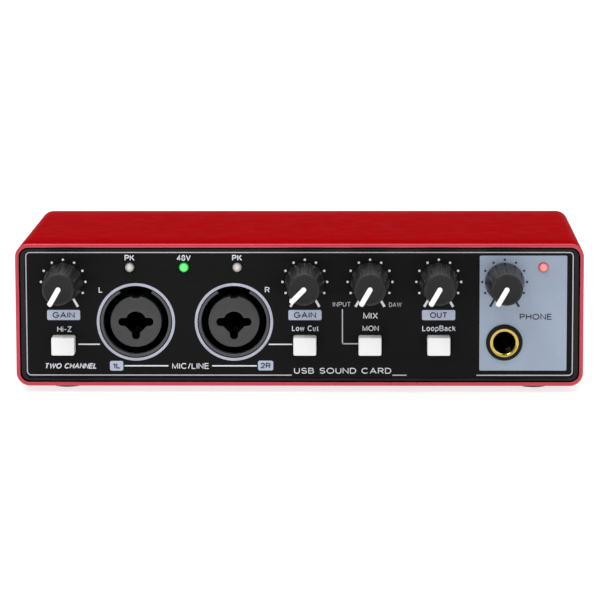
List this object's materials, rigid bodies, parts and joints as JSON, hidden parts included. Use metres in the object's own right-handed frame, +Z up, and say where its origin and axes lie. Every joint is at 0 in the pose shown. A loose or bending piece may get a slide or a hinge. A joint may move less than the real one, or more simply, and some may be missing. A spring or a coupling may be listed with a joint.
{
  "type": "audio interface",
  "caption": "Desktop audio interface: red anodised sleeve, black control panel with knobs, buttons, lights, combination input sockets and a headphone socket.",
  "frame": {"origin": "centre of the whole object's footprint, on the surface that its feet stand on", "axes": "+X to the right as the user faces the controls, +Y from the front panel to the back, +Z up"},
  "size_m": [0.178, 0.1078, 0.047],
  "materials": {
    "anodised_red": "satin red anodised",
    "black_moulding": "glossy moulded black",
    "panel_print": "satin printed film",
    "rear_black": "fine-textured black",
    "knob_black": "satin moulded black",
    "white_plastic": "satin moulded white",
    "socket_plastic": "moulded black nylon",
    "board": "green solder mask",
    "component_black": "moulded epoxy",
    "steel": "zinc plated",
    "black_steel": "black oxide",
    "gold": "gold plated",
    "can_aluminium": "satin can",
    "rubber": "matt",
    "lens_clear": "milky lens",
    "lens_green": "lit green lens",
    "lens_red": "lit red lens"
  },
  "bodies": {
    "case": {"board_header": "component_black", "button_switches": "component_black", "capacitors": "can_aluminium", "chips": "component_black", "front_board": "board", "front_overlay": "panel_print", "front_panel": "black_moulding", "front_screws": "steel", "gain_left_pot": "component_black", "gain_right_pot": "component_black", "input_contacts": "gold", "left_input_insert": "socket_plastic", "left_input_shell": "socket_plastic", "left_output_jack": "socket_plastic", "main_board": "board", "mix_pot": "component_black", "output_jack_nuts": "steel", "output_pot": "component_black", "peak_leds": "lens_clear", "phantom_led": "lens_green", "phantom_switch": "component_black", "phones_jack_body": "socket_plastic", "phones_jack_ferrule": "gold", "phones_pot": "component_black", "pot_nuts": "steel", "power_led": "lens_red", "rear_panel": "rear_black", "rear_screws": "black_steel", "right_input_insert": "socket_plastic", "right_input_shell": "socket_plastic", "right_output_jack": "socket_plastic", "rubber_feet": "rubber", "sleeve": "anodised_red", "switch_springs": "steel", "usb_socket": "steel"},
    "gain_left_control": {"gain_left_knob": "knob_black", "gain_left_pointer": "white_plastic", "gain_left_shaft": "can_aluminium"},
    "gain_right_control": {"gain_right_knob": "knob_black", "gain_right_pointer": "white_plastic", "gain_right_shaft": "can_aluminium"},
    "mix_control": {"mix_knob": "knob_black", "mix_pointer": "white_plastic", "mix_shaft": "can_aluminium"},
    "output_control": {"output_knob": "knob_black", "output_pointer": "white_plastic", "output_shaft": "can_aluminium"},
    "phones_control": {"phones_knob": "knob_black", "phones_pointer": "white_plastic", "phones_shaft": "can_aluminium"},
    "instrument_push": {"instrument_button": "white_plastic", "instrument_plunger": "white_plastic"},
    "low_cut_push": {"low_cut_button": "white_plastic", "low_cut_plunger": "white_plastic"},
    "monitor_push": {"monitor_button": "white_plastic", "monitor_plunger": "white_plastic"},
    "loopback_push": {"loopback_button": "white_plastic", "loopback_plunger": "white_plastic"},
    "phantom_push": {"phantom_button": "white_plastic", "phantom_plunger": "white_plastic"}
  },
  "joints": [
    {"name": "gain_left_turn", "type": "hinge", "parent": "case", "child": "gain_left_control", "pos_m": [-0.074, -0.03555, 0.0349], "axis": [0, 1, 0], "range_deg": [0, 300]},
    {"name": "gain_right_turn", "type": "hinge", "parent": "case", "child": "gain_right_control", "pos_m": [0.0018, -0.03555, 0.0349], "axis": [0, 1, 0], "range_deg": [-15, 285]},
    {"name": "mix_turn", "type": "hinge", "parent": "case", "child": "mix_control", "pos_m": [0.0222, -0.03555, 0.0349], "axis": [0, 1, 0], "range_deg": [0, 300]},
    {"name": "output_turn", "type": "hinge", "parent": "case", "child": "output_control", "pos_m": [0.0437, -0.03555, 0.0349], "axis": [0, 1, 0], "range_deg": [0, 300]},
    {"name": "phones_turn", "type": "hinge", "parent": "case", "child": "phones_control", "pos_m": [0.0643, -0.03555, 0.0349], "axis": [0, 1, 0], "range_deg": [0, 300]},
    {"name": "instrument_press", "type": "slide", "parent": "case", "child": "instrument_push", "axis": [0, 1, 0], "range_m": [0, 0.0025], "stiffness_N_per_m": 300, "springref_m": -0.002, "deforming": ["switch_springs"]},
    {"name": "low_cut_press", "type": "slide", "parent": "case", "child": "low_cut_push", "axis": [0, 1, 0], "range_m": [0, 0.0025], "stiffness_N_per_m": 300, "springref_m": -0.002, "deforming": ["switch_springs"]},
    {"name": "monitor_press", "type": "slide", "parent": "case", "child": "monitor_push", "axis": [0, 1, 0], "range_m": [0, 0.0025], "stiffness_N_per_m": 300, "springref_m": -0.002, "deforming": ["switch_springs"]},
    {"name": "loopback_press", "type": "slide", "parent": "case", "child": "loopback_push", "axis": [0, 1, 0], "range_m": [0, 0.0025], "stiffness_N_per_m": 300, "springref_m": -0.002, "deforming": ["switch_springs"]},
    {"name": "phantom_press", "type": "slide", "parent": "case", "child": "phantom_push", "axis": [0, -1, 0], "range_m": [0, 0.002], "stiffness_N_per_m": 300, "springref_m": -0.002, "deforming": ["switch_springs"]}
  ]
}
